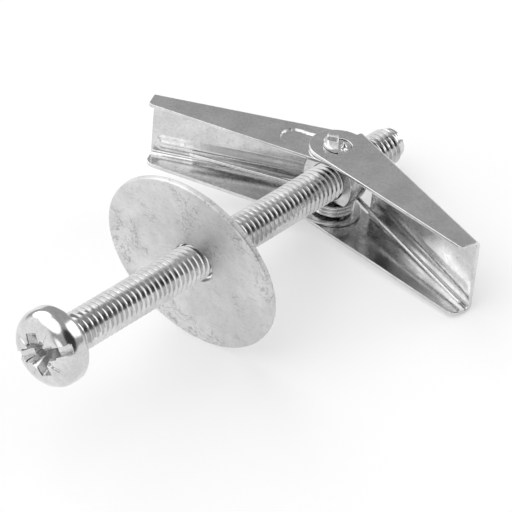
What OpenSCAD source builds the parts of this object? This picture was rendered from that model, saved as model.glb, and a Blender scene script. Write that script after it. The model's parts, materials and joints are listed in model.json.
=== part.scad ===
// Spring toggle bolt
// A machine screw with a loose washer carries two sprung sheet wings on a trunnion nut.
// In the bench frame the wings turn about Z and the screw lies along X with its head at +X.
// lay_down() tips the whole assembly into the pose in which it comes to rest on a floor.

/* [Screw] */
// Outside diameter of the thread
thread_d = 6; // [5.8:0.1:6.2]
// Length under the head
screw_len = 75; // [72:1:90]
// From the wings' pivot to the underside of the head
head_reach = 60.7; // [59:0.1:64]
// Diameter of the head
head_d = 11.7; // [10.5:0.1:12.5]
// Height of the head
head_h = 4.8; // [4.6:0.1:5.4]
// Height of the head's straight rim
head_edge = 2; // [1.6:0.1:2.1]
// Radius of the head's rounded shoulder
head_shoulder = 2.4; // [2:0.1:2.6]
// Radius of the head's rounded lower edge
head_round = 0.9; // [0.4:0.1:1]
// Width of the chamfer at the tip
tip_chamfer = 0.7; // [0.3:0.1:1]
// Drive recess, from arm end to arm end at its mouth
drive_span = 6.9; // [5.5:0.1:7.5]
// Width of one arm of the drive recess
drive_arm = 1.6; // [1:0.05:1.8]
// Depth of the drive recess
drive_depth = 3.2; // [2.4:0.1:3.5]
// How far the drive recess is turned about the screw
drive_turn = 18; // [0:1:89]

/* [Washer] */
// Outside diameter
washer_d = 30; // [28:0.5:32]
// Sheet thickness
washer_t = 1; // [0.8:0.1:1.2]
// Diameter of the hole
washer_hole_d = 7; // [6.9:0.1:7.5]
// How far the hole is pressed back from the rim
washer_dish = 0.9; // [0.3:0.1:1.2]
// From the wings' pivot to the washer's rim
washer_reach = 33.8; // [33.8:0.1:36]
// How far the loose washer leans over toward the head
washer_lean = 11.5; // [6:0.5:12]
// How far the loose washer is turned about the pivot's direction
washer_yaw = 3.5; // [0:0.5:5]
// How far the middle of the washer's rim lies above the screw's axis
washer_lift = -0.05; // [-0.2:0.05:-0.05]

/* [Wings] */
// From the pivot to the end of a wing at its web
wing_len = 30.8; // [28:0.1:30.8]
// Sheet thickness
sheet_t = 0.55; // [0.45:0.05:0.6]
// Radius of the ears round the pivot pin
ear_r = 4.5; // [4.2:0.1:4.6]
// Back of the web behind the pivot line, at the pivot
web_back = 5.75; // [5.6:0.05:6.2]
// Back of the web behind the pivot line, at the wing's end
web_back_end = 1.1; // [0.9:0.05:1.6]
// Free edge before the pivot line, at the wing's end
free_front_end = 2.5; // [2:0.1:2.8]
// How much shorter the wing is at its free edge
free_step = 0.35; // [0:0.05:1]
// Distance from the pivot at which the web starts
web_start = 3.6; // [3.5:0.1:4.5]
// How far the upper flange's straight back edge runs past the pivot
fold_overrun = 0.8; // [0:0.1:1.5]
// How far the lower flange's heel runs past the pivot
heel_overrun = 2.4; // [2:0.1:3]
// Outside radius of the upper bend
bend_top = 0.9; // [0.8:0.05:1.1]
// Outside radius of the lower bend
bend_low = 1.3; // [0.8:0.05:1.5]
// Height of the inner wing's upper flange over the screw's axis, inside
flange_top = 4.5; // [4.3:0.05:4.8]
// Depth of the inner wing's lower flange under the screw's axis, inside
flange_low = 5.7; // [5.7:0.05:6.2]
// Share of the wing's width at which the rib lies, from the top
rib_place = 0.745; // [0.7:0.005:0.77]
// Height of the pressed rib above the web's inside
rib_h = 0.6; // [0.3:0.05:0.7]
// How far the rib stops short of the wing's end
rib_stop = 1.8; // [1.5:0.1:4]
// Depth of the pressed track in the inner wing's upper flange
track_depth = 0.3; // [0.1:0.05:0.35]
// From the pivot to the far end of the pressed track
track_len = 9.3; // [8:0.1:12]
// Angle by which the outer wing stands off square, toward the head
open_right = 11; // [9:0.5:14]
// Angle by which the inner wing stands off square, toward the head
open_left = 17.6; // [14:0.2:20]

/* [Trunnion nut] */
// Radius of the nut's round body
nut_r = 4.7; // [4.5:0.05:4.8]
// Thickness of the nut along the screw
nut_t = 4; // [3.8:0.1:4.2]
// Diameter of the pins
pin_d = 4; // [3.8:0.1:4.2]
// Diameter of the upper pin's riveted end
rivet_d = 4.7; // [4.6:0.1:5.2]
// Height of the upper pin's riveted end
rivet_h = 0.8; // [0.5:0.1:1]

/* [Spring] */
// Wire diameter
wire_d = 0.65; // [0.5:0.05:0.65]
// Middle diameter of the coil
coil_d = 6.2; // [5.8:0.1:6.4]
// Number of full turns
turns = 3; // [2:1:3]
// How far the leg along the inner wing stops short of the wing's end
leg_stop_in = 6.8; // [5:0.2:9]
// How far the leg along the outer wing stops short of the wing's end
leg_stop_out = 1.4; // [1:0.2:4]
// How far the inner wing's leg climbs on its way
leg_climb = 1.4; // [0.8:0.1:1.6]
// How far the outer wing's leg drops on its way
leg_drop = 2.2; // [1.4:0.1:2.3]

/* [Clearances] */
// Radial play of the thread in the nut
thread_play = 0.05; // [0.03:0.01:0.08]
// Radial play of the pins in the ears
pin_play = 0.05; // [0.03:0.01:0.08]
// Gap between parts that lie face to face
face_gap = 0.05; // [0.04:0.01:0.08]

/* [Hidden] */
$fn = 72;
over = 0.5;
far = 60;
thread_r = thread_d / 2;
pin_r = pin_d / 2;

// The outer wing straddles the inner one.
inner_top = flange_top + sheet_t;
inner_low = flange_low + sheet_t;
outer_top = inner_top + face_gap + sheet_t;
outer_low = inner_low + face_gap + sheet_t;
free_u = wing_len - free_step;
web_slant = atan2(web_back - web_back_end, wing_len);

// The nut fills the space over the coil.
coil_step = wire_d + 0.01;
coil_h = turns * coil_step + wire_d;
nut_top = flange_top - face_gap;
nut_low = flange_low - coil_h - 2 * face_gap;

// A wing's own frame has V toward the head and U outward: this gives the bench place of a point.
function wing_point(side, open, u, v, z) =
    [u * sin(open) + v * cos(open), side * (u * cos(open) - v * sin(open)), z];
function unit(a) = a / norm(a);

// A disc is [middle, normal, radius]; these give its lowest point and its reach in a direction.
function disc_foot(d, up) = let (r = up - (up * d[1]) * d[1]) d[0] - d[2] * unit(r);
function disc_reach(d, dir) = d[0] * dir + d[2] * sqrt(max(0, 1 - pow(d[1] * dir, 2)));
function reach(discs, dir) = max([for (d = discs) disc_reach(d, dir)]);
function foot(discs, up) =
    let (low = -reach(discs, -up))
    [for (d = discs) if (disc_foot(d, up) * up < low + 1e-6) disc_foot(d, up)][0];

// The round ends of the two bends of a wing, at a distance u from its pivot.
function bend_discs(side, open, u, top, low) =
    let (v = u * tan(web_slant) - web_back,
         along = unit(wing_point(side, open, cos(web_slant), sin(web_slant), 0)))
    [[wing_point(side, open, u, v + bend_top, top - bend_top), along, bend_top],
     [wing_point(side, open, u, v + bend_low, bend_low - low), along, bend_low]];
function end_corners(side, open, top, low) =
    [for (z = [top, -low]) [wing_point(side, open, free_u, free_front_end, z), [0, 0, 1], 0]];

right_end = concat(bend_discs(1, open_right, wing_len, outer_top, outer_low),
                   end_corners(1, open_right, outer_top, outer_low));
left_end = concat(bend_discs(-1, open_left, wing_len, inner_top, inner_low),
                  end_corners(-1, open_left, inner_top, inner_low));
right_root = concat(bend_discs(1, open_right, -heel_overrun, outer_top, outer_low),
                    [[[0, 0, -outer_low], [0, 0, 1], ear_r]]);
washer_axis = [cos(washer_lean) * cos(washer_yaw), cos(washer_lean) * sin(washer_yaw), -sin(washer_lean)];
washer_rim = [for (back = [0, washer_t])
    [[washer_reach, 0, washer_lift] - back * washer_axis, washer_axis, washer_d / 2]];

// The bolt rests on the outer wing's lower bend, from heel to end, and on the washer's rim.
function settle(up, n) = n == 0 ? up :
    let (a = foot(right_root, up), b = foot(right_end, up), c = foot(washer_rim, up))
    settle(unit(cross(b - c, a - c)), n - 1);
rest_up = settle(unit([2, -1, 10]), 12);
rest_x = unit([1, 0, 0] - rest_up[0] * rest_up);
rest_y = cross(rest_up, rest_x);
floor_z = foot(washer_rim, rest_up) * rest_up;

// Extents of the laid assembly, for an origin under its middle.
crown_rise = head_h - head_edge;
crown_r = (pow(head_d / 2 - head_shoulder, 2) + pow(crown_rise, 2) - pow(head_shoulder, 2))
    / (2 * (crown_rise - head_shoulder));
tip_x = head_reach - screw_len;
tip_discs = [[[tip_x, 0, 0], [1, 0, 0], thread_r - tip_chamfer],
             [[tip_x + tip_chamfer, 0, 0], [1, 0, 0], thread_r]];
x_mid = (rest_x * [head_reach + head_h - crown_r, 0, 0] + crown_r - reach(tip_discs, -rest_x)) / 2;
y_mid = (reach(right_end, rest_y) - reach(left_end, -rest_y)) / 2;

module lay_down() {
    translate([-x_mid, -y_mid, -floor_z])
        multmatrix([[rest_x[0], rest_x[1], rest_x[2], 0],
                    [rest_y[0], rest_y[1], rest_y[2], 0],
                    [rest_up[0], rest_up[1], rest_up[2], 0],
                    [0, 0, 0, 1]])
            children();
}

module along_x() {
    rotate([0, 90, 0]) children();
}

// Drive recess, mouth at the origin and bottom toward -X: four arms inside a cone.
module drive_recess() {
    intersection() {
        translate([-drive_depth, 0, 0])
            along_x() cylinder(h = drive_depth + over, d1 = drive_span * 0.55, d2 = drive_span);
        for (turn = [0, 90])
            rotate([drive_turn + turn, 0, 0])
                translate([-drive_depth, -drive_arm / 2, -head_d])
                    cube([drive_depth + over, drive_arm, 2 * head_d]);
    }
}

// Half of the screw's outline, from its tip up to the head's crown, for turning about its axis.
module screw_outline() {
    shoulder = head_d / 2 - head_shoulder;
    touch = shoulder * crown_r / (crown_r - head_shoulder);
    polygon([[0, 0], [thread_r - tip_chamfer, 0], [thread_r, tip_chamfer],
             [thread_r, screw_len + over], [0, screw_len + over]]);
    translate([0, screw_len]) {
        intersection() {
            square([touch, head_h]);
            translate([0, head_h - crown_r]) circle(crown_r);
        }
        intersection() {
            square([head_d / 2, head_h]);
            translate([shoulder, head_edge]) circle(head_shoulder);
        }
        translate([0, head_round]) square([head_d / 2, head_edge - head_round]);
        square([head_d / 2 - head_round, head_round]);
        translate([head_d / 2 - head_round, head_round]) circle(head_round);
    }
}

module screw() {
    color("silver") lay_down() difference() {
        translate([tip_x, 0, 0]) along_x() rotate_extrude() screw_outline();
        translate([head_reach + head_h, 0, 0]) drive_recess();
    }
}

module washer() {
    rim = washer_d / 2;
    hole = washer_hole_d / 2;
    color("gainsboro") lay_down()
        translate([washer_reach, 0, washer_lift])
            rotate([0, 0, washer_yaw])
                rotate([0, washer_lean, 0])
                    along_x() rotate_extrude()
                        polygon([[hole, -washer_dish - washer_t], [rim, -washer_t],
                                 [rim, 0], [hole, -washer_dish]]);
}

// Cross-section of a channel from the web's back, open at far: a box with two rounded corners.
module channel_area(low, top, r_low, r_top) {
    difference() {
        translate([0, -low]) square([far, low + top]);
        translate([0, -low]) difference() {
            square(r_low);
            translate([r_low, r_low]) circle(r_low);
        }
        translate([0, top - r_top]) difference() {
            square(r_top);
            translate([r_top, 0]) circle(r_top);
        }
    }
}

// Moves from a wing's frame to the back of its web: X into the wing, Y along the bend.
module at_web() {
    translate([-web_back, 0, 0]) rotate([0, 0, -web_slant]) children();
}

module folded_channel(top, low) {
    at_web() translate([0, far, 0]) rotate([90, 0, 0]) linear_extrude(2 * far)
        difference() {
            channel_area(low, top, bend_low, bend_top);
            translate([sheet_t, 0])
                channel_area(low - sheet_t, top - sheet_t, bend_low - sheet_t, bend_top - sheet_t);
        }
}

// Outline of a flange seen along the pivot: a round ear, then a taper that leaves it as a tangent.
module flange_outline() {
    free_end = [free_front_end, free_u];
    touch = atan2(free_end[1], free_end[0]) - acos(ear_r / norm(free_end));
    circle(ear_r);
    polygon([[0, -fold_overrun], ear_r * [cos(touch), sin(touch)], free_end,
             [-web_back_end, wing_len], [-web_back - over, wing_len], [-web_back - over, -fold_overrun]]);
}

// A round-ended bar along the web, with its axis in the web's back face.
module rib_bar(r, z) {
    from = web_start + rib_stop;
    to = (wing_len - rib_stop) / cos(web_slant);
    at_web() translate([0, 0, z]) {
        translate([0, from, 0]) rotate([-90, 0, 0]) cylinder(h = to - from, r = r);
        for (y = [from, to]) translate([0, y, 0]) sphere(r);
    }
}

module wing(top, low) {
    rib_z = top - rib_place * (top + low);
    difference() {
        union() {
            intersection() {
                folded_channel(top, low);
                union() {
                    translate([0, 0, -far]) linear_extrude(2 * far) flange_outline();
                    translate([-web_back - over, -heel_overrun, -far])
                        cube([web_back + over, heel_overrun, far]);
                }
            }
            difference() {
                rib_bar(sheet_t + rib_h, rib_z);
                at_web() translate([-far + sheet_t / 2, -far, -far]) cube([far, 2 * far, 2 * far]);
            }
        }
        rib_bar(rib_h, rib_z);
        translate([-far, web_start - far, sheet_t - low]) cube([2 * far, far, low + top - 2 * sheet_t]);
        translate([0, 0, -far]) cylinder(h = 2 * far, r = pin_r + pin_play);
    }
}

module wing_right() {
    color("lightgray") lay_down() rotate([0, 0, -open_right]) wing(outer_top, outer_low);
}

module wing_left() {
    track_r = pin_r + 2 * pin_play;
    color("lightgray") lay_down() mirror([0, 1, 0]) rotate([0, 0, -open_left]) difference() {
        wing(inner_top, inner_low);
        translate([0, 0, inner_top - track_depth]) {
            translate([-track_r, 0, 0]) cube([2 * track_r, track_len - track_r, far]);
            translate([0, track_len - track_r, 0]) cylinder(h = far, r = track_r);
        }
    }
}

module trunnion_nut() {
    color("silver") lay_down() difference() {
        union() {
            intersection() {
                translate([-nut_t / 2, 0, 0]) along_x() cylinder(h = nut_t, r = nut_r);
                translate([-far, -far, -nut_low]) cube([2 * far, 2 * far, nut_low + nut_top]);
            }
            translate([0, 0, -outer_low]) cylinder(h = outer_low + outer_top + face_gap, r = pin_r);
            translate([0, 0, outer_top + face_gap]) cylinder(h = rivet_h, d = rivet_d);
        }
        translate([-far, 0, 0]) along_x() cylinder(h = 2 * far, r = thread_r + thread_play);
    }
}

// The wire comes in along the inner wing's web, winds up the lower pin and leaves along the other web.
module torsion_spring() {
    sides = 12;
    per_turn = 40;
    coil_r = coil_d / 2;
    leg_in = wing_len - leg_stop_in;
    leg_out = wing_len - leg_stop_out;
    // The legs lie on the ribs.
    off = web_back * cos(web_slant) - sheet_t - rib_h - wire_d / 2 - face_gap - coil_r;
    heading_in = 90 + open_left + web_slant - asin(off / leg_in);
    heading_out = 90 - open_right - web_slant + asin(off / leg_out);
    sweep = heading_in - heading_out + 360 * turns;
    steps = ceil(turns * per_turn);
    z_top = nut_low + face_gap + wire_d / 2;
    // One station is [middle of the wire, outward normal].
    coil = [for (i = [0 : steps])
        let (a = heading_in + 90 - sweep * i / steps, n = [cos(a), sin(a), 0])
        [coil_r * n - [0, 0, z_top + coil_step * turns * (1 - i / steps)], n]];
    start = coil[0];
    end = coil[steps];
    path = concat(
        [[start[0] - [leg_in * cos(heading_in), leg_in * sin(heading_in), -leg_climb], start[1]]],
        coil,
        [[end[0] + [leg_out * cos(heading_out), leg_out * sin(heading_out), -leg_drop], end[1]]]);
    last = len(path) - 1;
    points = [for (s = path, k = [0 : sides - 1])
        s[0] + wire_d / 2 * (cos(360 * k / sides) * s[1] + [0, 0, sin(360 * k / sides)])];
    walls = [for (i = [0 : last - 1], k = [0 : sides - 1])
        let (m = (k + 1) % sides)
        [i * sides + k, (i + 1) * sides + k, (i + 1) * sides + m, i * sides + m]];
    caps = [[for (k = [0 : sides - 1]) k], [for (k = [sides - 1 : -1 : 0]) last * sides + k]];
    color("gray") lay_down() polyhedron(points, concat(walls, caps));
}

screw();
washer();
wing_left();
wing_right();
trunnion_nut();
torsion_spring();
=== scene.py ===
# %% [markdown]
# # Spring toggle bolt
# A toggle bolt holds a thing on a hollow wall. Its two wings fold along the screw, pass through a drilled
# hole and spring open behind the board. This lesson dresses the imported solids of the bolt: it makes each
# piece again as fine mesh, in the same place, and gives it a plated finish.

import json
import math

import bmesh
import bpy
import numpy as np
from mathutils import Matrix, Vector


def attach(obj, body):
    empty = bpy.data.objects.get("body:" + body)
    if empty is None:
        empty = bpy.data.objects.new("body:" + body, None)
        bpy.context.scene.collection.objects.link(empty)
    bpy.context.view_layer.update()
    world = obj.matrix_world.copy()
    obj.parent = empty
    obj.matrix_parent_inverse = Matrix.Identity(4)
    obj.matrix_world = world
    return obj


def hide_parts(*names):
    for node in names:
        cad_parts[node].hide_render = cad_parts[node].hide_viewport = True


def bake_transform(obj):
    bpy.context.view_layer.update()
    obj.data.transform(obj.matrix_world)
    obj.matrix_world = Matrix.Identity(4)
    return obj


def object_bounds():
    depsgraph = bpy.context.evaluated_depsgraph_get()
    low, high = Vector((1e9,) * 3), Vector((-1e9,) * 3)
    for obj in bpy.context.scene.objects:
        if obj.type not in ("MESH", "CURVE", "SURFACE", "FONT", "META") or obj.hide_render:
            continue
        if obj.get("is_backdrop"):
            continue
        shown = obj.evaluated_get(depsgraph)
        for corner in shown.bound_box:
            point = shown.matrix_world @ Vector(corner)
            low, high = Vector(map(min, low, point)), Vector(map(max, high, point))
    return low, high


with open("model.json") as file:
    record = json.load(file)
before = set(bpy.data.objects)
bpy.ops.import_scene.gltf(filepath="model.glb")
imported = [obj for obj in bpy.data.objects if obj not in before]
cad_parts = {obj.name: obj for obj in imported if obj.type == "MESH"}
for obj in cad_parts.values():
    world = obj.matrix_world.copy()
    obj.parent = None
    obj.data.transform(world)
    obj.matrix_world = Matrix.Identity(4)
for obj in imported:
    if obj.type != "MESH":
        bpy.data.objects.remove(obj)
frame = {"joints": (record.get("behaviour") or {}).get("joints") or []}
solid_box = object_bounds()

# %% [markdown]
# ## The bench frame
# On a bench the bolt is easy to describe: the screw lies along X with its head at +X, and the wings turn
# about Z. In the scene it lies tipped over on the floor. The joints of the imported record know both
# directions, so one matrix takes every point from bench millimetres to the floor in metres.

# %% From the bench to the floor
mm = 0.001
joints = {joint["name"]: joint for joint in frame["joints"]}
along_screw = Vector(joints["screw_turn"]["axis"]).normalized()
along_pins = Vector(joints["wing_left_fold"]["axis"]).normalized()
across = along_pins.cross(along_screw).normalized()
pivot = Vector(joints["screw_turn"]["pos_m"])
bench = Matrix.Identity(4)
for column, axis in enumerate((along_screw, across, along_screw.cross(across))):
    bench.col[column] = (*(axis * mm), 0)
bench.col[3] = (*pivot, 1)
print("pivot on the floor:", [round(x / mm, 2) for x in pivot], "mm")

# %% [markdown]
# ## The camera
# The picture is taken from above the washer with a long lens. A long lens keeps the wings, which are far
# from each other, at nearly the same scale. The camera is turned a little about its own line of sight, so
# its three axes are written out in full.

# %% Camera
camera_data = bpy.data.cameras.new("camera")
camera_data.sensor_width = 36
camera_data.lens = 205.698
camera_data.clip_start, camera_data.clip_end = 0.01, 20
camera = bpy.data.objects.new("camera", camera_data)
bpy.context.scene.collection.objects.link(camera)
view_point = Vector((0.223732, 0.235543, 0.292397))
view_right = Vector((-0.632143, 0.764873, -0.123956)).normalized()
view_back = Vector((0.525975, 0.541048, 0.656214)).normalized()
view_up = view_back.cross(view_right).normalized()
view_right = view_up.cross(view_back)
view_axes = Matrix((view_right, view_up, view_back)).transposed()
camera.matrix_world = Matrix.Translation(view_point) @ view_axes.to_4x4()
bpy.context.scene.camera = camera
bpy.context.scene.view_settings.view_transform = "Standard"
print("camera stands", round(view_point.length / mm), "mm off")

# %% [markdown]
# ## Wiring nodes with plain expressions
# A finish is a small sum of patterns: so much mottling, plus so much scratch. Wiring that by hand takes many
# lines, so one class wraps a socket. Adding or multiplying two of them adds a Math node, and one method
# makes any other node. The same class wires the shape trees later on.

# %% The wire
class Wire:
    def __init__(self, tree, socket=None):
        self.tree = tree
        self.socket = socket

    def node(self, kind, settings=None, sockets=None, out=0):
        """Makes a node, sets it, links or fills its sockets, and wraps one of its outputs."""
        made = self.tree.nodes.new(kind)
        for key, value in (settings or {}).items():
            setattr(made, key, value)
        for key, value in (sockets or {}).items():
            if isinstance(value, Wire):
                self.tree.links.new(value.socket, made.inputs[key])
            else:
                made.inputs[key].default_value = value
        return Wire(self.tree, made.outputs[out] if made.outputs else None)

    def other(self, key):
        """Another output of the same node."""
        return Wire(self.tree, self.socket.node.outputs[key])

    def sum(self, operation, first, second=0.0):
        return self.node("ShaderNodeMath", {"operation": operation}, {0: first, 1: second})

    def __add__(self, other):
        return self.sum("ADD", self, other)

    __radd__ = __add__

    def __mul__(self, other):
        return self.sum("MULTIPLY", self, other)

    __rmul__ = __mul__

    def __sub__(self, other):
        return self.sum("SUBTRACT", self, other)

    def __rsub__(self, other):
        return self.sum("SUBTRACT", other, self)

    def __truediv__(self, other):
        return self.sum("DIVIDE", self, other)

    def __rtruediv__(self, other):
        return self.sum("DIVIDE", other, self)

    def step(self, low, high):
        """A soft step: 0 below low, 1 above high."""
        return self.node("ShaderNodeMapRange", {"interpolation_type": "SMOOTHSTEP"},
                         {0: self, 1: low, 2: high, 3: 0.0, 4: 1.0})


# %% [markdown]
# ## Bright zinc
# Every piece is steel with a thin coat of zinc. Zinc is a clean grey mirror when it is new, and handling
# leaves it cloudy, spotted and finely scratched. A picture of worn metal could be wrapped round each piece,
# but noise in the piece's own coordinates never stretches, and it can be tuned: clouds drive the colour and
# the roughness, and long thin noise gives the scratches. The washer also has fine dark veins. They are drawn
# where one slow noise passes its middle value.

# %% Zinc finish
vein_grey, dent_depth = 0.16, 0.02 * mm


def grey(level):
    return (level, level, level, 1)


def zinc(name, light, dark, gloss, haze, cloud_size, scratch, dent, veins):
    material = bpy.data.materials.new(name)
    material.use_nodes = True
    tree = material.node_tree
    tree.nodes.clear()
    start = Wire(tree)
    place = start.node("ShaderNodeTexCoord", out=3)
    spot = start.node("ShaderNodeVectorMath", {"operation": "SCALE"}, {0: place, 3: 1 / mm})
    drawn = start.node("ShaderNodeMapping", None,
                       {"Vector": spot, "Rotation": (0.35, 0.2, 0.75), "Scale": (1.0, 0.08, 1.0)})

    def noise(scale, detail, roughness=0.5, distortion=0.0, at=spot):
        return start.node("ShaderNodeTexNoise", None, {
            "Vector": at, "Scale": scale, "Detail": detail, "Roughness": roughness,
            "Distortion": distortion})

    cloud = noise(1 / cloud_size, 5.0, 0.62).step(0.34, 0.68)
    grain = noise(2.4, 4.0, 0.7).step(0.3, 0.7)
    spots = noise(1.3, 2.0).step(0.63, 0.72)
    lines = noise(3.4, 2.0, 0.7, at=drawn).step(0.6, 0.7)
    off_middle = start.sum("ABSOLUTE", noise(0.32, 5.0, 0.65, 1.6) - 0.5)
    vein = (1 - off_middle.step(0.004, 0.022)) * noise(0.16, 1.0).step(0.47, 0.55)

    tone = 0.6 * cloud + 0.45 * grain - 0.5 * spots - scratch * lines
    colour = start.node("ShaderNodeMix", {"data_type": "RGBA"},
                        {0: tone, 6: grey(dark), 7: grey(light)}, out=2)
    colour = start.node("ShaderNodeMix", {"data_type": "RGBA"},
                        {0: veins * vein, 6: colour, 7: grey(vein_grey)}, out=2)
    rough = gloss + (haze - gloss) * (0.6 * (1 - cloud) + 0.4 * grain) + 0.08 * lines + 0.06 * spots
    height = 0.6 * grain + 0.4 * cloud - scratch * lines
    bump = start.node("ShaderNodeBump", None,
                      {"Strength": dent, "Distance": dent_depth, "Height": height})
    shader = start.node("ShaderNodeBsdfPrincipled", None,
                        {"Base Color": colour, "Roughness": rough, "Metallic": 1.0, "Normal": bump})
    start.node("ShaderNodeOutputMaterial", None, {0: shader})
    return material


# lightest and darkest grey, gloss, haze, size of the clouds in mm, scratches, dents, veins
finish_table = {
    "screw_zinc": (0.76, 0.58, 0.07, 0.18, 3.0, 0.2, 0.08, 0.0),
    "washer_zinc": (0.8, 0.64, 0.46, 0.6, 5.0, 0.5, 0.3, 0.5),
    "wing_zinc": (0.78, 0.58, 0.13, 0.25, 4.0, 0.35, 0.2, 0.0),
    "nut_zinc": (0.74, 0.56, 0.18, 0.32, 2.0, 0.3, 0.2, 0.0),
    "spring_wire": (0.88, 0.74, 0.2, 0.3, 1.0, 0.4, 0.2, 0.0),
}
finishes = {name: zinc(name, *values) for name, values in finish_table.items()}
print("finishes:", ", ".join(finishes))

# %% [markdown]
# ## Putting a piece in its place
# All pieces end the same way. Their points go from the bench to the floor, faces that meet at a sharp angle
# keep a crisp edge, the piece hangs from the body it moves with, if it has one, and the solid it stands for
# is hidden.

# %% Place a piece
weld, sliver, same_spot = 0.0006, 0.0002, 0.0005


def place_piece(name, points, faces, body, node, slot, crisp):
    mesh = bpy.data.meshes.new(name)
    mesh.from_pydata([tuple(p) for p in points], [], [tuple(f) for f in faces])
    work = bmesh.new()
    work.from_mesh(mesh)
    bmesh.ops.remove_doubles(work, verts=work.verts, dist=weld)
    bmesh.ops.dissolve_degenerate(work, edges=work.edges, dist=sliver)
    bmesh.ops.recalc_face_normals(work, faces=work.faces)
    open_edges = sum(1 for edge in work.edges if len(edge.link_faces) != 2)
    work.to_mesh(mesh)
    work.free()
    mesh.transform(bench)
    for face in mesh.polygons:
        face.use_smooth = True
    mesh.set_sharp_from_angle(angle=math.radians(crisp))
    mesh.materials.append(finishes[slot])
    piece = bpy.data.objects.new(name, mesh)
    bpy.context.scene.collection.objects.link(piece)
    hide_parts(node)
    if body:
        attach(piece, body)
    print(f"{name}: {len(mesh.polygons)} faces, {open_edges} open edges")
    return piece


# %% [markdown]
# ## Strips of faces
# Most of the pieces are grids of points that run along something: round a rim, along a wire, down a thread.
# One helper turns such a grid into four-sided faces, closed round one or both ways. Two more give the
# directions of a full turn and add one mesh to another.

# %% Grids, circles and joined meshes
def grid_faces(rows, columns, round_rows=False, round_columns=False):
    faces = []
    for i in range(rows if round_rows else rows - 1):
        for j in range(columns if round_columns else columns - 1):
            k, m = (i + 1) % rows, (j + 1) % columns
            faces.append([i * columns + j, k * columns + j, k * columns + m, i * columns + m])
    return faces


def circle(steps):
    """The directions of a full turn, as pairs of cosine and sine."""
    angles = [2 * math.pi * i / steps for i in range(steps)]
    return [(math.cos(a), math.sin(a)) for a in angles]


def join(points, faces, more_points, more_faces):
    """Adds a second mesh to a first one and counts its faces on from there."""
    base = len(points)
    points.extend(more_points)
    faces.extend([[base + i for i in face] for face in more_faces])


# %% [markdown]
# ## The washer
# A washer is punched out of sheet and pressed into a shallow dish. Punching rolls the edge over on one side
# and leaves it sharper on the other. A disc with a hole would look dead, so its section is drawn with both
# kinds of edge and turned round the hole in small steps.

# %% Washer section
def rounded(outline, radii, steps):
    """An outline whose corners are each replaced by a round run of points."""
    made = []
    for k, at in enumerate(outline):
        at = np.array(at, float)
        first = np.array(outline[k - 1]) - at
        second = np.array(outline[(k + 1) % len(outline)]) - at
        first, second = first / np.linalg.norm(first), second / np.linalg.norm(second)
        for t in np.linspace(0, 1, steps):
            made.append(tuple(at + radii[k] * ((1 - t) ** 2 * first + t ** 2 * second)))
    return made


washer_hole_r, washer_r, washer_t, dish = 3.3, 15.0, 1.0, 0.916
washer_steps, corner_steps, edge_radii = 200, 7, (0.3, 0.14, 0.34, 0.22)
washer_outline = [(washer_hole_r, -dish - washer_t), (washer_r, -washer_t),
                  (washer_r, 0.0), (washer_hole_r, -dish)]
washer_section = rounded(washer_outline, edge_radii, corner_steps)
washer_points = [(x, r * c, r * s) for c, s in circle(washer_steps) for r, x in washer_section]
washer_faces = grid_faces(washer_steps, len(washer_section), round_rows=True, round_columns=True)

# %% Washer on the screw
washer_x, washer_z, side_play, drawn_run = 33.8, -0.05, 0.1, 8.0
lean, yaw = math.radians(11.5), math.radians(3.5)
washer_turn = (Matrix.Translation((washer_x, 0, washer_z)) @ Matrix.Rotation(yaw, 4, "Z")
               @ Matrix.Rotation(lean, 4, "Y"))
hole_middle = washer_turn @ Vector((-dish - washer_t / 2, 0, 0))
off_screw = Vector((0, hole_middle.y - side_play, hole_middle.z))


def seated(p):
    """A point of the washer in place. Near the hole the sheet is drawn over, so that the screw fills it."""
    near_hole = 1 - (math.hypot(p[1], p[2]) - washer_hole_r) / drawn_run
    return washer_turn @ Vector(p) - min(1.0, max(0.0, near_hole)) * off_screw


washer_points = [seated(p) for p in washer_points]
place_piece("washer_disc", washer_points, washer_faces, "washer", "washer", "washer_zinc", 38)

# %% [markdown]
# ## Trees of shape nodes
# Two pieces follow a rule so closely that a tree of nodes makes them. Both trees open and close the same
# way: named inputs in front, and real mesh with a material at the end. A tree is run by a modifier on an
# empty mesh. Its inputs are set by their identifiers before the first evaluation, and the result is read
# back as a plain mesh.

# %% Open, close and run a tree
def open_tree(name, sizes):
    tree = bpy.data.node_groups.new(name, "GeometryNodeTree")
    for label, value in sizes.items():
        socket = tree.interface.new_socket(label, in_out="INPUT", socket_type="NodeSocketFloat")
        socket.default_value = value
    tree.interface.new_socket("Material", in_out="INPUT", socket_type="NodeSocketMaterial")
    tree.interface.new_socket("Geometry", in_out="OUTPUT", socket_type="NodeSocketGeometry")
    entry = tree.nodes.new("NodeGroupInput")
    return tree, {socket.name: Wire(tree, socket) for socket in entry.outputs}


def close_tree(tree, shape, material):
    real = shape.node("GeometryNodeRealizeInstances", None, {0: shape})
    done = shape.node("GeometryNodeSetMaterial", None, {"Geometry": real, "Material": material})
    leave = tree.nodes.new("NodeGroupOutput")
    tree.links.new(done.socket, leave.inputs[0])


def grow(tree, values):
    mesh = bpy.data.meshes.new("seed")
    seed = bpy.data.objects.new("seed", mesh)
    bpy.context.scene.collection.objects.link(seed)
    modifier = seed.modifiers.new("shape", "NODES")
    modifier.node_group = tree
    for item in tree.interface.items_tree:
        if item.in_out == "INPUT" and item.name in values:
            modifier[item.identifier] = values[item.name]
    grown = bpy.data.meshes.new_from_object(seed.evaluated_get(bpy.context.evaluated_depsgraph_get()))
    seed.modifiers.remove(modifier)
    bpy.data.objects.remove(seed)
    points = [tuple(v.co) for v in grown.vertices]
    faces = [list(f.vertices) for f in grown.polygons]
    print(tree.name, "made", len(faces), "faces")
    return points, faces


# %% [markdown]
# ## The thread
# A thread is one ridge that follows a helix, a clear case for a rule. A grid is rolled up: its long side
# runs round and round, its short side spans one pitch, and neighbouring turns are welded. The ridge fades
# at both ends, as it does where a die starts and stops. Another screw only needs other numbers.

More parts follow.
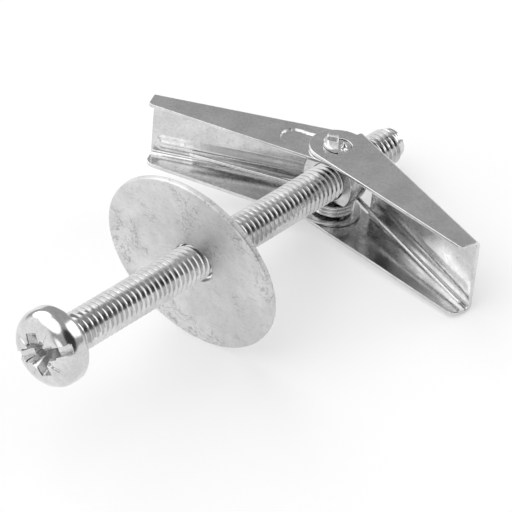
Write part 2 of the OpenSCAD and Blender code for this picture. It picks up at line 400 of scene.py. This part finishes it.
# %% Thread tree
turn_steps, ridge_points = 36, 17
crest_flat, root_flat = 0.125, 0.75


def thread_tree():
    tree, given = open_tree("rolled thread", {
        "Start": 0.0, "Turns": 10.0, "Pitch": 1.0, "Root radius": 2.4, "Crest radius": 3.0, "Fade": 0.8})
    start = Wire(tree)
    rows = start.node("FunctionNodeFloatToInt", None, {0: given["Turns"] * turn_steps + 1})
    flat = start.node("GeometryNodeMeshGrid", None,
                      {"Size X": 1.0, "Size Y": 1.0, "Vertices X": ridge_points, "Vertices Y": rows})
    spot = start.node("GeometryNodeInputPosition")
    split = start.node("ShaderNodeSeparateXYZ", None, {0: spot})
    over_pitch = 0.5 - split
    round_screw = (split.other(1) + 0.5) * given["Turns"]
    from_crest = start.sum("ABSOLUTE", over_pitch * 2 - 1)
    flank = start.node("ShaderNodeMapRange", None,
                       {0: from_crest, 1: crest_flat, 2: root_flat, 3: 1.0, 4: 0.0})
    fade = (round_screw.step(0.0, given["Fade"])
            * (given["Turns"] - round_screw).step(0.0, given["Fade"]))
    radius = given["Root radius"] + (given["Crest radius"] - given["Root radius"]) * flank * fade
    angle = round_screw * (2 * math.pi)
    rolled = start.node("ShaderNodeCombineXYZ", None, {
        0: given["Start"] + (round_screw + over_pitch) * given["Pitch"],
        1: radius * start.sum("COSINE", angle),
        2: radius * start.sum("SINE", angle)})
    shaped = start.node("GeometryNodeSetPosition", None, {"Geometry": flat, "Position": rolled})
    welded = start.node("GeometryNodeMergeByDistance", None, {"Geometry": shaped, "Distance": same_spot})
    close_tree(tree, welded, given["Material"])
    return tree


# %% Thread
tip_x, head_reach, neck_r = -14.3, 60.7, 2.8
pitch, root_r, crest_r, thread_turns, fade_turns = 1.0, 2.45, 2.98, 73.0, 0.8
thread_start = tip_x + 0.35
screw_points, screw_faces = grow(thread_tree(), {
    "Start": thread_start, "Turns": thread_turns, "Pitch": pitch, "Root radius": root_r,
    "Crest radius": crest_r, "Fade": fade_turns, "Material": finishes["screw_zinc"]})

# %% [markdown]
# ## The screw's two ends
# Where the ridge has faded, a plain collar runs from its slanting edge to a flat end. At the tip the collar
# closes with a small chamfer. At the other end it runs into the underside of the head.

# %% Collars
def collar(slant_start, rings, step_at):
    """A sleeve from the thread's slanting edge to rings of (x, radius). The faded ridge ends in a step."""
    wide = len(rings) + 1
    rows = []
    for i in range(turn_steps + 1):
        a = 2 * math.pi * i / turn_steps
        row = [(slant_start + pitch * i / turn_steps, root_r)] + rings
        rows += [(x, r * math.cos(a), r * math.sin(a)) for x, r in row]
    faces = grid_faces(turn_steps + 1, wide)
    ridge = [len(rows) + k for k in range(ridge_points)]
    rows += [(slant_start + pitch * k / (ridge_points - 1), root_r, 0.0) for k in range(ridge_points)]
    if step_at == "last":
        last = (turn_steps - 1) * wide
        faces[(turn_steps - 1) * (wide - 1)] = [last, *reversed(ridge), last + wide + 1, last + 1]
    else:
        faces[0] = [*ridge, 1, wide + 1, wide][::-1]
    join(screw_points, screw_faces, rows, faces)


tip_rings = [(tip_x + 0.3, root_r), (tip_x + 0.04, 2.12), (tip_x, 2.0), (tip_x, 0.0)]
neck_rings = [(head_reach - 0.25, root_r), (head_reach - 0.08, 2.56), (head_reach, neck_r)]
collar(thread_start, tip_rings, "last")
collar(thread_start + thread_turns * pitch, neck_rings, "first")

# %% [markdown]
# ## The head
# The head is a low dome with a slot and a cross for a driver, and a rounded rim. It could be cut with solid
# cutters, but a fine sheet of points whose height is worked out from a rule keeps soft lips and sloping
# walls. The rule takes the lower of two surfaces: the dome and the recess.

# %% Head outline
head_h, head_r, head_edge, shoulder_r = 4.8, 5.85, 2.0, 2.4
crown = head_reach + head_h
shoulder_mid = head_r - shoulder_r
rise = head_h - head_edge
crown_r = (shoulder_mid ** 2 + rise ** 2 - shoulder_r ** 2) / (2 * (rise - shoulder_r))
shoulder_start = shoulder_mid * crown_r / (crown_r - shoulder_r)


def dome(r):
    if r < shoulder_start:
        return crown - crown_r + math.sqrt(crown_r ** 2 - r ** 2)
    return head_reach + head_edge + math.sqrt(max(0.0, shoulder_r ** 2 - (r - shoulder_mid) ** 2))


print("the shoulder starts", round(shoulder_start, 2), "mm off the axis")

# %% [markdown]
# The recess takes two drivers. A slot runs across the whole head, and a cross with steep walls and sloping
# ends goes deeper in the middle. A small notch opens each inner corner of the cross, and a fine pressed line
# lies between its arms.

# %% Drive recess
drive_turn = math.radians(31.7)
slot_half, slot_wall, slot_deep = 0.74, 9.0, 1.9
cross_arm, cross_deep, cross_slope = (3.4, 7.2, 1.12, 3.4), 3.475, 0.25
notch_arm, notch_deep = (2.6, 4.0, 0.46, 5.0), 2.2
tick_middle, tick_half, tick_wide, tick_deep = 3.25, 0.95, 0.3, 0.26


def arm_depth(r, a, arm, floor):
    """Depth of one arm: its reach, the slope of its end, its half width and the slope of its walls."""
    reach, end, half, wall = arm
    along, side = r * math.cos(a), abs(r * math.sin(a))
    return min((1 - along / reach) * end, (half - side) * wall, floor) if along > 0 else 0.0


def drive_depth(y, z):
    r = math.hypot(y, z)
    a = math.atan2(z, y) - drive_turn
    depths = [0.0, min(slot_deep, (slot_half - abs(r * math.sin(a))) * slot_wall)]
    for k in range(4):
        depths.append(arm_depth(r, a - k * math.pi / 2, cross_arm, cross_deep - cross_slope * r))
        depths.append(arm_depth(r, a - (k + 0.5) * math.pi / 2, notch_arm, notch_deep))
    return max(depths)


def tick_depth(y, z):
    """Depth of the pressed lines, half-way between the arms."""
    r = math.hypot(y, z)
    a = math.atan2(z, y) - drive_turn
    side = abs(r * math.sin(a % (math.pi / 2) - math.pi / 4))
    run = max(0.0, 1 - ((r - tick_middle) / tick_half) ** 4)
    return tick_deep * run * max(0.0, 1 - side / tick_wide)


# %% Head surface
spokes, recess_r, field_r, edge_r = 288, 3.7, 4.25, 0.9
head_ways = circle(spokes)
ring_radii = [*np.linspace(0.0, recess_r, 58), *np.linspace(recess_r + 0.08, field_r, 7)]
field_end = math.asin((field_r - shoulder_mid) / shoulder_r)
ring_radii += [shoulder_mid + shoulder_r * math.sin(t)
               for t in np.linspace(field_end, math.pi / 2, 16)[1:]]
head_points = []
for r in ring_radii:
    for c, s in head_ways:
        y, z = r * c, r * s
        depth = drive_depth(y, z)
        top = dome(r) - tick_depth(y, z)
        head_points.append((min(top, crown - depth) if depth > 0 else top, y, z))

# %% Head rim and underside
rim_top, under_r, neck_gap = 1.45, 3.6, 0.1
rim = [(head_r, head_reach + rim_top)]
rim += [(head_r - edge_r + edge_r * math.cos(t), head_reach + edge_r - edge_r * math.sin(t))
        for t in np.linspace(0, math.pi / 2, 9)]
rim += [(under_r, head_reach), (neck_r + neck_gap, head_reach)]
for r, x in rim:
    head_points += [(x, r * c, r * s) for c, s in head_ways]
head_faces = grid_faces(len(ring_radii) + len(rim), spokes, round_columns=True)
neck = len(head_points)
last_ring, fine = neck - spokes, spokes // turn_steps
head_points += [(head_reach, neck_r * c, neck_r * s) for c, s in circle(turn_steps)]
for k in range(turn_steps):
    fan = [last_ring + (k * fine + j) % spokes for j in range(fine + 1)]
    head_faces.append([neck + k, *fan, neck + (k + 1) % turn_steps])
join(screw_points, screw_faces, head_points, head_faces)
place_piece("machine_screw", screw_points, screw_faces, "screw", "screw", "screw_zinc", 42)

# %% [markdown]
# ## Folded sheet
# Each wing is one strip of sheet folded into a channel. A solid block with the inside cut away would lose
# the even thickness that makes sheet look like sheet. So every point is made twice, on the outside and
# the inside of the fold, and the free edges are joined with a narrow rounded rim.

# %% Sheet with rims
sheet_t, rim_r, least_spread = 0.55, 0.11, 0.6


def sheet_solid(outer, inner, faces):
    outer, inner = np.array(outer, float), np.array(inner, float)
    on_grid = np.round(outer / same_spot).astype(np.int64)
    _, first, twin = np.unique(on_grid, axis=0, return_index=True, return_inverse=True)
    twin = twin.reshape(-1)
    outer, inner = outer[first], inner[first]
    faces = [[int(twin[i]) for i in face] for face in faces]
    faces = [face for face in faces if len(set(face)) > 2]
    count = len(outer)
    points = [*outer, *inner]
    solid = faces + [[count + i for i in reversed(face)] for face in faces]
    sides = {}
    for face in faces:
        for a, b in zip(face, face[1:] + face[:1]):
            sides.setdefault(frozenset((a, b)), []).append((a, b, face))
    free = [pair[0] for pair in sides.values() if len(pair) == 1]
    ways_out = {}
    for a, b, face in free:
        p = [outer[i] for i in face]
        normal = np.cross(p[1] - p[0], p[2] - p[0]) + np.cross(p[2] - p[0], p[-1] - p[0])
        away = np.cross(outer[b] - outer[a], normal)
        away = away / np.linalg.norm(away)
        ways_out.setdefault(a, []).append(away)
        ways_out.setdefault(b, []).append(away)
    rim_turns = [math.radians(t) for t in (30, 60, 90)]
    section = [(rim_r * math.sin(t), rim_r * (1 - math.cos(t))) for t in rim_turns]
    section += [(w, sheet_t - d) for w, d in reversed(section)]
    place_of = {}
    for i, directions in ways_out.items():
        away = np.mean(directions, axis=0)
        away = away / max(least_spread, float(np.linalg.norm(away))) ** 2
        through = (inner[i] - outer[i]) / sheet_t
        place_of[i] = [i]
        for w, d in section:
            place_of[i].append(len(points))
            points.append(outer[i] + w * away + d * through)
        place_of[i].append(count + i)
    for a, b, _ in free:
        for k in range(len(section) + 1):
            solid.append([place_of[b][k], place_of[a][k], place_of[a][k + 1], place_of[b][k + 1]])
    return points, solid


# %% [markdown]
# ## The plan of a wing
# Seen along the pins a wing is a round ear that runs into a tapering flange. These functions give the
# places on that plan: how deep a point lies in front of the web's back, and where the end is cut.

# %% Plan of a wing
wing_reach, web_back, web_back_end, web_start = 30.8, 5.75, 1.1, 3.6
free_end = np.array((2.5 - rim_r, 30.45 - rim_r))
ear_r, hole_r = 4.5 - rim_r, 2.05 + rim_r
web_slant = math.atan2(web_back - web_back_end, wing_reach)
bend_way = np.array((math.sin(web_slant), math.cos(web_slant)))
deep_way = np.array((math.cos(web_slant), -math.sin(web_slant)))
back_start = np.array((-web_back, 0.0))
end_corner = np.array((-web_back_end, wing_reach - rim_r))
end_way = (free_end - end_corner) / np.linalg.norm(free_end - end_corner)
touch = math.atan2(free_end[1], free_end[0]) - math.acos(ear_r / np.linalg.norm(free_end))
touch_point = ear_r * np.array((math.cos(touch), math.sin(touch)))
free_way = (free_end - touch_point) / np.linalg.norm(free_end - touch_point)


def on_plan(deep, along):
    return back_start + deep * deep_way + along * bend_way


def along_at_u(deep, u):
    return (u + deep * math.sin(web_slant)) / math.cos(web_slant)


def along_at_end(deep):
    base = end_corner - back_start
    reach = (deep - base @ deep_way) / (end_way @ deep_way)
    return base @ bend_way + reach * (end_way @ bend_way)


def free_edge(u):
    t = (u - touch_point[1]) / (free_end[1] - touch_point[1])
    return touch_point + t * (free_end - touch_point)


def flange_spot(t, share, bend, round_end):
    """A point of a flange: t runs along the wing, share from the bend to the free edge."""
    base = on_plan(bend, along_at_u(bend, web_start))
    tip = on_plan(bend, along_at_end(bend))
    edge = free_edge(web_start) * (1 - t) + free_end * t
    spot = (base * (1 - t) + tip * t) * (1 - share) + edge * share
    left = (1 - share) * np.linalg.norm(free_end - tip)
    if left < round_end:
        back = round_end - math.sqrt(round_end ** 2 - (round_end - left) ** 2)
        spot = spot - t * back * free_way
    return spot


print("free edge leaves the ear at", touch_point.round(2))

# %% [markdown]
# ## One wing
# The strip is followed from the upper free edge over the upper bend, down the web with its pressed rib and
# round the lower bend to the lower free edge. Stations run from the pivot end of the web to the wing's end.
# The ears are added as rings round the pin's hole that end on the same points as the flanges.

# %% Rib and track
rib_margin, rib_place, rib_field, rib_half_out, rib_half_in = 1.8, 0.745, 1.6, 1.35, 1.5
track_middle, track_half, track_wall, track_deep = 7.2, 1.95, 0.2, 0.3


def smooth(x):
    x = min(1.0, max(0.0, x))
    return x * x * (3 - 2 * x)


def rib_shape(z, along, rib_z, half, high):
    first, last = web_start + rib_margin, (wing_reach - rib_margin) / math.cos(web_slant)
    beyond = max(first - along, along - last, 0.0)
    away = math.hypot(z - rib_z, beyond)
    return high * 0.5 * (1 + math.cos(math.pi * min(1.0, away / half)))


def track_drop(v, u):
    """How far the pressed track lies under the flange: a straight slot with a round end."""
    away = math.hypot(v, max(0.0, u - track_middle))
    return track_deep * (1 - smooth((away - track_half) / track_wall))


# %% Wing strip
bend_top, bend_low, corner_top, corner_low = 0.9, 1.3, 0.5, 1.3
bend_angles = np.linspace(0, math.pi / 2, 13)
shares = [*np.linspace(0, 0.82, 22), *np.linspace(0.85, 1, 9)]
stations = [*np.linspace(0, 0.24, 34), *np.linspace(0.25, 0.9, 40), *np.linspace(0.905, 1, 20)]


def wing_strip(top, low, rib_h, track):
    rib_z = top - rib_place * (top + low)
    web_z = [*np.linspace(top - bend_top, rib_z + rib_field, 10)[:-1],
             *np.linspace(rib_z + rib_field, rib_z - rib_field, 33)[:-1],
             *np.linspace(rib_z - rib_field, bend_low - low, 3)]
    columns = [("top", s) for s in reversed(shares)]
    columns += [("bend_top", a) for a in bend_angles[1:-1]]
    columns += [("web", z) for z in web_z]
    columns += [("bend_low", a) for a in bend_angles[-2:0:-1]]
    columns += [("low", s) for s in shares]
    outer, inner = [], []

    def folded(kind, value, t, layer, rib_half):
        """A point of the web or of a bend, on the outside (layer 0) or the inside of the sheet."""
        deep, z = layer, value
        if kind == "bend_top":
            deep = bend_top - (bend_top - layer) * math.sin(value)
            z = top - bend_top + (bend_top - layer) * math.cos(value)
        elif kind == "bend_low":
            deep = bend_low - (bend_low - layer) * math.sin(value)
            z = bend_low - low - (bend_low - layer) * math.cos(value)
        along = along_at_u(deep, web_start) * (1 - t) + along_at_end(deep) * t
        if kind == "web":
            deep += rib_shape(z, along, rib_z, rib_half, rib_h)
        return (*on_plan(deep, along), z)

    for t in stations:
        for kind, value in columns:
            if kind == "top":
                v, u = flange_spot(t, value, bend_top, corner_top)
                outer.append((v, u, top - (track_drop(v, u) if track else 0)))
                inner.append((v, u, top - sheet_t))
            elif kind == "low":
                v, u = flange_spot(t, value, bend_low, corner_low)
                outer.append((v, u, -low))
                inner.append((v, u, sheet_t - low))
            else:
                outer.append(folded(kind, value, t, 0.0, rib_half_out))
                inner.append(folded(kind, value, t, sheet_t, rib_half_in))
    return outer, inner, grid_faces(len(stations), len(columns))


# %% Ears
ear_rings = 9
heel_top, heel_low = (0.8, math.radians(30)), (2.4, math.radians(15))


def ear(z, bend, heel, track):
    """Rings from the pin's hole to the ear's outline, and the first part of the bend behind it."""
    overrun, turn_back = heel
    start = on_plan(bend, along_at_u(bend, web_start))
    seam = [start * (1 - s) + free_edge(web_start) * s for s in shares]
    free = [free_edge(u) for u in np.linspace(web_start, touch_point[1], 8)[1:-1]]
    heel_v = -math.sqrt(ear_r ** 2 - overrun ** 2)
    last = math.atan2(-overrun, heel_v) % (2 * math.pi) - 2 * math.pi
    arc = [ear_r * np.array((math.cos(a), math.sin(a))) for a in np.linspace(touch, last, 60)]
    back_along = np.linspace(along_at_u(bend, -overrun), along_at_u(bend, web_start), 14)
    back = [on_plan(bend, along) for along in back_along[:-1]]
    outline = seam + free + arc + back
    lift = 1 if z > 0 else -1
    outer, inner = [], []
    for k in range(ear_rings):
        for spot in outline:
            hole = hole_r * spot / np.linalg.norm(spot)
            v, u = hole + (spot - hole) * k / (ear_rings - 1)
            drop = track_drop(v, u) if track else 0
            outer.append((v, u, z - lift * drop))
            inner.append((v, u, z - lift * sheet_t))
    faces = grid_faces(ear_rings, len(outline), round_columns=True)
    base = len(outer)
    curl = [a for a in bend_angles if a < turn_back + 1e-6]
    for along in back_along:
        u_here = on_plan(bend, along)[1]
        for a in curl:
            for layer, store in ((0.0, outer), (sheet_t, inner)):
                deep = bend - (bend - layer) * math.sin(a)
                v, u = on_plan(deep, along_at_u(deep, u_here))
                store.append((v, u, z - lift * (bend - (bend - layer) * math.cos(a))))
    faces += [[base + i for i in face] for face in grid_faces(len(back_along), len(curl))]
    return outer, inner, faces


# %% Both wings
def facing(outer, inner, faces):
    """Turns each face so that its normal points away from the sheet's inside."""
    made = []
    for face in faces:
        p = [np.array(outer[i]) for i in face]
        normal = np.cross(p[2] - p[0], p[3] - p[1])
        inside = sum(np.array(inner[i]) - np.array(outer[i]) for i in face)
        made.append(face if normal @ inside < 0 else list(reversed(face)))
    return made


def make_wing(name, body, side, opened, top, low, rib_h, track):
    outer, inner, faces = wing_strip(top, low, rib_h, track)
    for ear_outer, ear_inner, ear_faces in (ear(top, bend_top, heel_top, track),
                                            ear(-low, bend_low, heel_low, False)):
        join(outer, faces, ear_outer, ear_faces)
        inner += ear_inner
    points, solid = sheet_solid(outer, inner, facing(outer, inner, faces))
    s, c = math.sin(math.radians(opened)), math.cos(math.radians(opened))
    points = [(u * s + v * c, side * (u * c - v * s), z) for v, u, z in points]
    place_piece(name, points, solid, body, body, "wing_zinc", 34)


open_left, open_right = 17.6, 11.0
make_wing("wing_left_sheet", "wing_left", -1, open_left, top=5.05, low=6.25, rib_h=0.42, track=True)
make_wing("wing_right_sheet", "wing_right", 1, open_right, top=5.65, low=6.85, rib_h=0.14, track=False)

# %% [markdown]
# ## The trunnion nut
# The nut is a round block with two pins for the wings. Its upper pin is staked: a punch drives half of its
# end down and spreads it over the ear. The block and its pins are turned shapes, and the staked end is
# a small field of heights, so that its torn, uneven look can be drawn.

# %% Nut block
nut_points, nut_faces = [], []
nut_r, nut_half, bore_r, lead_r = 4.7, 2.0, 3.05, 3.1
flat_top, flat_low, least_reach = 4.45, 2.97, 3.3
lead, edge_side, edge_in = 0.3, 0.15, 0.12
nut_steps, block = 144, []
for c, s in circle(nut_steps):
    reach = nut_r
    if s > 0:
        reach = min(nut_r, flat_top / s)
    elif s < 0:
        reach = min(nut_r, max(least_reach, flat_low / -s))
    half = [(nut_half - lead, bore_r), (nut_half, lead_r),
            (nut_half, reach - edge_in), (nut_half - edge_side, reach)]
    section = [(-x, r) for x, r in reversed(half)] + half
    block += [(x, r * c, r * s) for x, r in section]
block_faces = grid_faces(nut_steps, len(section), round_rows=True, round_columns=True)
join(nut_points, nut_faces, block, block_faces)

# %% Lower pin
pin_r, pin_end, pin_steps = 2.0, -6.85, 72
pin_section = [(0.0, -least_reach), (pin_r, -least_reach), (pin_r, pin_end + 0.15),
               (pin_r - 0.12, pin_end + 0.02), (0.6, pin_end), (0.0, pin_end)]
pin_points = [(r * c, r * s, z) for r, z in pin_section for c, s in circle(pin_steps)]
join(nut_points, nut_faces, pin_points, grid_faces(len(pin_section), pin_steps, round_columns=True))

# %% Staked end
to_left = np.array((0.646, -0.763))
to_back = np.array((-0.763, -0.646))


def staked_height(x, y):
    """Height of the staked pin's end over the ear: one half stands as a ramp, the other is driven down."""
    left = float(np.dot((x, y), to_left))
    back = float(np.dot((x, y), to_back))

    def mound(middle, wide):
        return math.exp(-(((left + 0.75) / 0.42) ** 2 + ((back - middle) / wide) ** 2))

    stands = smooth((left + 0.05) / 0.14)
    ramp = smooth((back + 2.0) / 2.7) * (1 - smooth((back - 1.1) / 0.7))
    edge = 1 - 0.6 * smooth((math.hypot(x, y) - 1.75) / 0.55)
    slit = math.exp(-((back + 0.35 - 0.1 * left) / 0.13) ** 2) * smooth((left - 0.15) / 0.25)
    high = 0.12 + 1.5 * ramp * edge - 0.45 * slit
    boss, pit = mound(0.35, 0.5), mound(-0.75, 0.42)
    return stands * high + (1 - stands) * (0.6 * boss - 0.25 - 0.3 * pit)


# %% Upper pin
stake_r, stake_spread, stake_z, stake_spokes = 1.99, 0.36, 5.7, 120
stake_ways = circle(stake_spokes)
bulge = [smooth((float(np.dot(way, to_left)) + 0.1) / 0.3) for way in stake_ways]
skirt = ((0.0, 0, 2.0, 0), (stake_r, 0, 2.0, 0), (stake_r, 0, 5.2, 0.52),
         (stake_r, 0.26, 5.25, 0.46), (stake_r, 0.35, 5.3, 0.46))
cap = np.linspace(1.0, 0.0, 34)
stake_points = []
for r, spread, z, lift in skirt:
    for (c, s), side in zip(stake_ways, bulge):
        reach = r + spread * side
        stake_points.append((reach * c, reach * s, z + lift * side))
for share in cap:
    for (c, s), side in zip(stake_ways, bulge):
        reach = (stake_r + stake_spread * side) * share
        stake_points.append((reach * c, reach * s, stake_z + staked_height(reach * c, reach * s)))
stake_faces = grid_faces(len(skirt) + len(cap), stake_spokes, round_columns=True)
join(nut_points, nut_faces, stake_points, stake_faces)
place_piece("trunnion_block", nut_points, nut_faces, "nut", "trunnion_nut", "nut_zinc", 40)

# %% [markdown]
# ## The spring
# One wire comes in along the left wing, winds three times up the lower pin and leaves along the right
# wing. The winding follows a path, so a tree sweeps a round wire along it. The two legs are separate straight
# meshes that run from the coil towards the wings.

# %% Winding tree
path_steps, wire_sides = 240, 16


def winding_tree():
    tree, given = open_tree("wound wire", {
        "Coil radius": 3.1, "Wire radius": 0.325, "First angle": 0.0, "Sweep": 6.0, "Foot": 0.0, "Rise": 2.0})
    start = Wire(tree)
    line = start.node("GeometryNodeMeshLine", None, {"Count": path_steps + 1})
    share = start.node("GeometryNodeInputIndex") / path_steps
    angle = given["First angle"] - given["Sweep"] * share
    spot = start.node("ShaderNodeCombineXYZ", None, {
        0: given["Coil radius"] * start.sum("COSINE", angle),
        1: given["Coil radius"] * start.sum("SINE", angle),
        2: given["Foot"] + given["Rise"] * share})
    shaped = start.node("GeometryNodeSetPosition", None, {"Geometry": line, "Position": spot})
    path = start.node("GeometryNodeMeshToCurve", None, {0: shaped})
    ring = start.node("GeometryNodeCurvePrimitiveCircle", None,
                      {"Resolution": wire_sides, "Radius": given["Wire radius"]})
    swept = start.node("GeometryNodeCurveToMesh", None,
                       {"Curve": path, "Profile Curve": ring, "Fill Caps": True})
    close_tree(tree, swept, given["Material"])
    return tree


# %% Coil
wire_r, coil_r, coil_rise = 0.325, 3.1, 1.98
leg_in, leg_out = 24.0, 29.4
rib_room, wire_gap = 0.6, 0.05
off_coil = web_back * math.cos(web_slant) - sheet_t - rib_room - wire_r - wire_gap - coil_r
heading_in = math.radians(90 + open_left) + web_slant - math.asin(off_coil / leg_in)
heading_out = math.radians(90 - open_right) - web_slant + math.asin(off_coil / leg_out)
first_angle = heading_in + math.pi / 2
sweep = heading_in - heading_out + 6 * math.pi
coil_top = -(flat_low + wire_gap + wire_r)
coil_points, coil_faces = grow(winding_tree(), {
    "Coil radius": coil_r, "Wire radius": wire_r, "First angle": first_angle, "Sweep": sweep,
    "Foot": coil_top - coil_rise, "Rise": coil_rise, "Material": finishes["spring_wire"]})
place_piece("spring_coil", coil_points, coil_faces, "nut", "torsion_spring", "spring_wire", 50)

# %% Legs
leg_rings = 60


def leg(name, angle, height, heading, length, climb):
    start = np.array((coil_r * math.cos(angle), coil_r * math.sin(angle), height))
    flat = np.array((math.cos(heading), math.sin(heading), 0))
    side, up = np.array((-flat[1], flat[0], 0)), np.array((0, 0, 1))
    way = flat + climb / length * up
    rings = [(run, wire_r) for run in np.linspace(-wire_gap, length - 0.12, leg_rings)]
    rings += [(length - 0.04, 0.92 * wire_r), (length, 0.7 * wire_r)]
    points = [start + run * way + r * (c * side + s * up) for run, r in rings for c, s in circle(wire_sides)]
    faces = grid_faces(len(rings), wire_sides, round_columns=True)
    faces += [list(range(wire_sides)), [len(points) - 1 - k for k in range(wire_sides)]]
    piece = place_piece(name, points, faces, None, "torsion_spring", "spring_wire", 50)
    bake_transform(piece)


climb_in, climb_out = 1.4, -2.2
leg("spring_leg_left", first_angle, coil_top - coil_rise, heading_in + math.pi, leg_in, climb_in)
leg("spring_leg_right", first_angle - sweep, coil_top, heading_out, leg_out, climb_out)

# %% [markdown]
# ## The floor
# The bolt lies on a plain white sweep, large enough to fill the view from every side. The floor is matt
# white, so it keeps the soft shadow. What the camera and the mirrors see of it is part plain white, so that
# the shadow stays faint, while the light that it throws back on the bolt is that of white card.

# %% Floor
floor_half, card_white, plain_share = 6, 0.9, 0.42
floor_mesh = bpy.data.meshes.new("floor")
floor_mesh.from_pydata([(x * floor_half, y * floor_half, 0) for x, y in ((-1, -1), (1, -1), (1, 1), (-1, 1))],
                       [], [(0, 1, 2, 3)])
floor = bpy.data.objects.new("floor", floor_mesh)
bpy.context.scene.collection.objects.link(floor)
matt = bpy.data.materials.new("matt_white")
matt.use_nodes = True
matt.node_tree.nodes.clear()
floor_wire = Wire(matt.node_tree)
rays = floor_wire.node("ShaderNodeLightPath")
seen = rays + rays.other("Is Glossy Ray") + rays.other("Is Transmission Ray")
white = floor_wire.node("ShaderNodeMix", {"data_type": "RGBA"},
                        {0: seen, 6: grey(card_white), 7: grey(1.0)}, out=2)
card = floor_wire.node("ShaderNodeBsdfDiffuse", None, {"Color": white})
plain = floor_wire.node("ShaderNodeEmission", None, {"Color": grey(1.0), "Strength": 1.0})
mixed = floor_wire.node("ShaderNodeMixShader", None, {0: plain_share * seen, 1: card, 2: plain})
floor_wire.node("ShaderNodeOutputMaterial", None, {0: mixed})
floor_mesh.materials.append(matt)
floor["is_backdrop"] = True

# %% [markdown]
# ## The light
# Metal shows its surroundings more than its own colour. The surroundings here are a plain studio: a large
# soft box overhead, another on the left, a lamp in front, one behind and a dark doorway on the right. They
# are written as soft patches of the sky round a few directions, and the soft box also gives the faint
# shadow on the floor.

# %% Studio
world = bpy.data.worlds.new("studio")
bpy.context.scene.world = world
world.use_nodes = True
world.node_tree.nodes.clear()
sky = Wire(world.node_tree)
look = sky.node("ShaderNodeTexCoord", out=0)


def patch(turn, height, wide, soft):
    """1 near a direction, given by its compass angle and its height, and 0 beyond wide + soft degrees."""
    turn, height = math.radians(turn), math.radians(height)
    way = Vector((math.cos(height) * math.cos(turn), math.cos(height) * math.sin(turn), math.sin(height)))
    near = sky.node("ShaderNodeVectorMath", {"operation": "DOT_PRODUCT"}, {0: look, 1: way}, out=1)
    return near.step(math.cos(math.radians(wide + soft)), math.cos(math.radians(wide)))


# each one's strength, and its compass angle, height, width and softness in degrees
room = 0.44
soft_box = 1.2 * patch(-45, 71, 32, 6)
side_box = 1.7 * patch(-104, 42, 22, 6)
left_wall = 0.6 * patch(-50, 14, 28, 14)
back_lamp = 1.5 * patch(152, 26, 16, 6)
front_lamp = 1.0 * patch(11, 11, 13, 7)
doorway = 0.88 * patch(97, 34, 23, 14)
boxes = sky.sum("MAXIMUM", sky.sum("MAXIMUM", soft_box, side_box), left_wall)
lit = (room + boxes + back_lamp + front_lamp) * (1 - doorway)
ground = sky.node("ShaderNodeBackground", None, {"Color": grey(1.0), "Strength": lit})
sky.node("ShaderNodeOutputWorld", None, {0: ground})

# %% [markdown]
# ## Last measure
# The dressed bolt has to keep the size of the solids, so both boxes are written down side by side.

# %% Sizes
dressed_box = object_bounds()
for name, box in (("solids", solid_box), ("dressed", dressed_box)):
    print(name, [round((b - a) * 1000, 2) for a, b in zip(*box)], "mm")
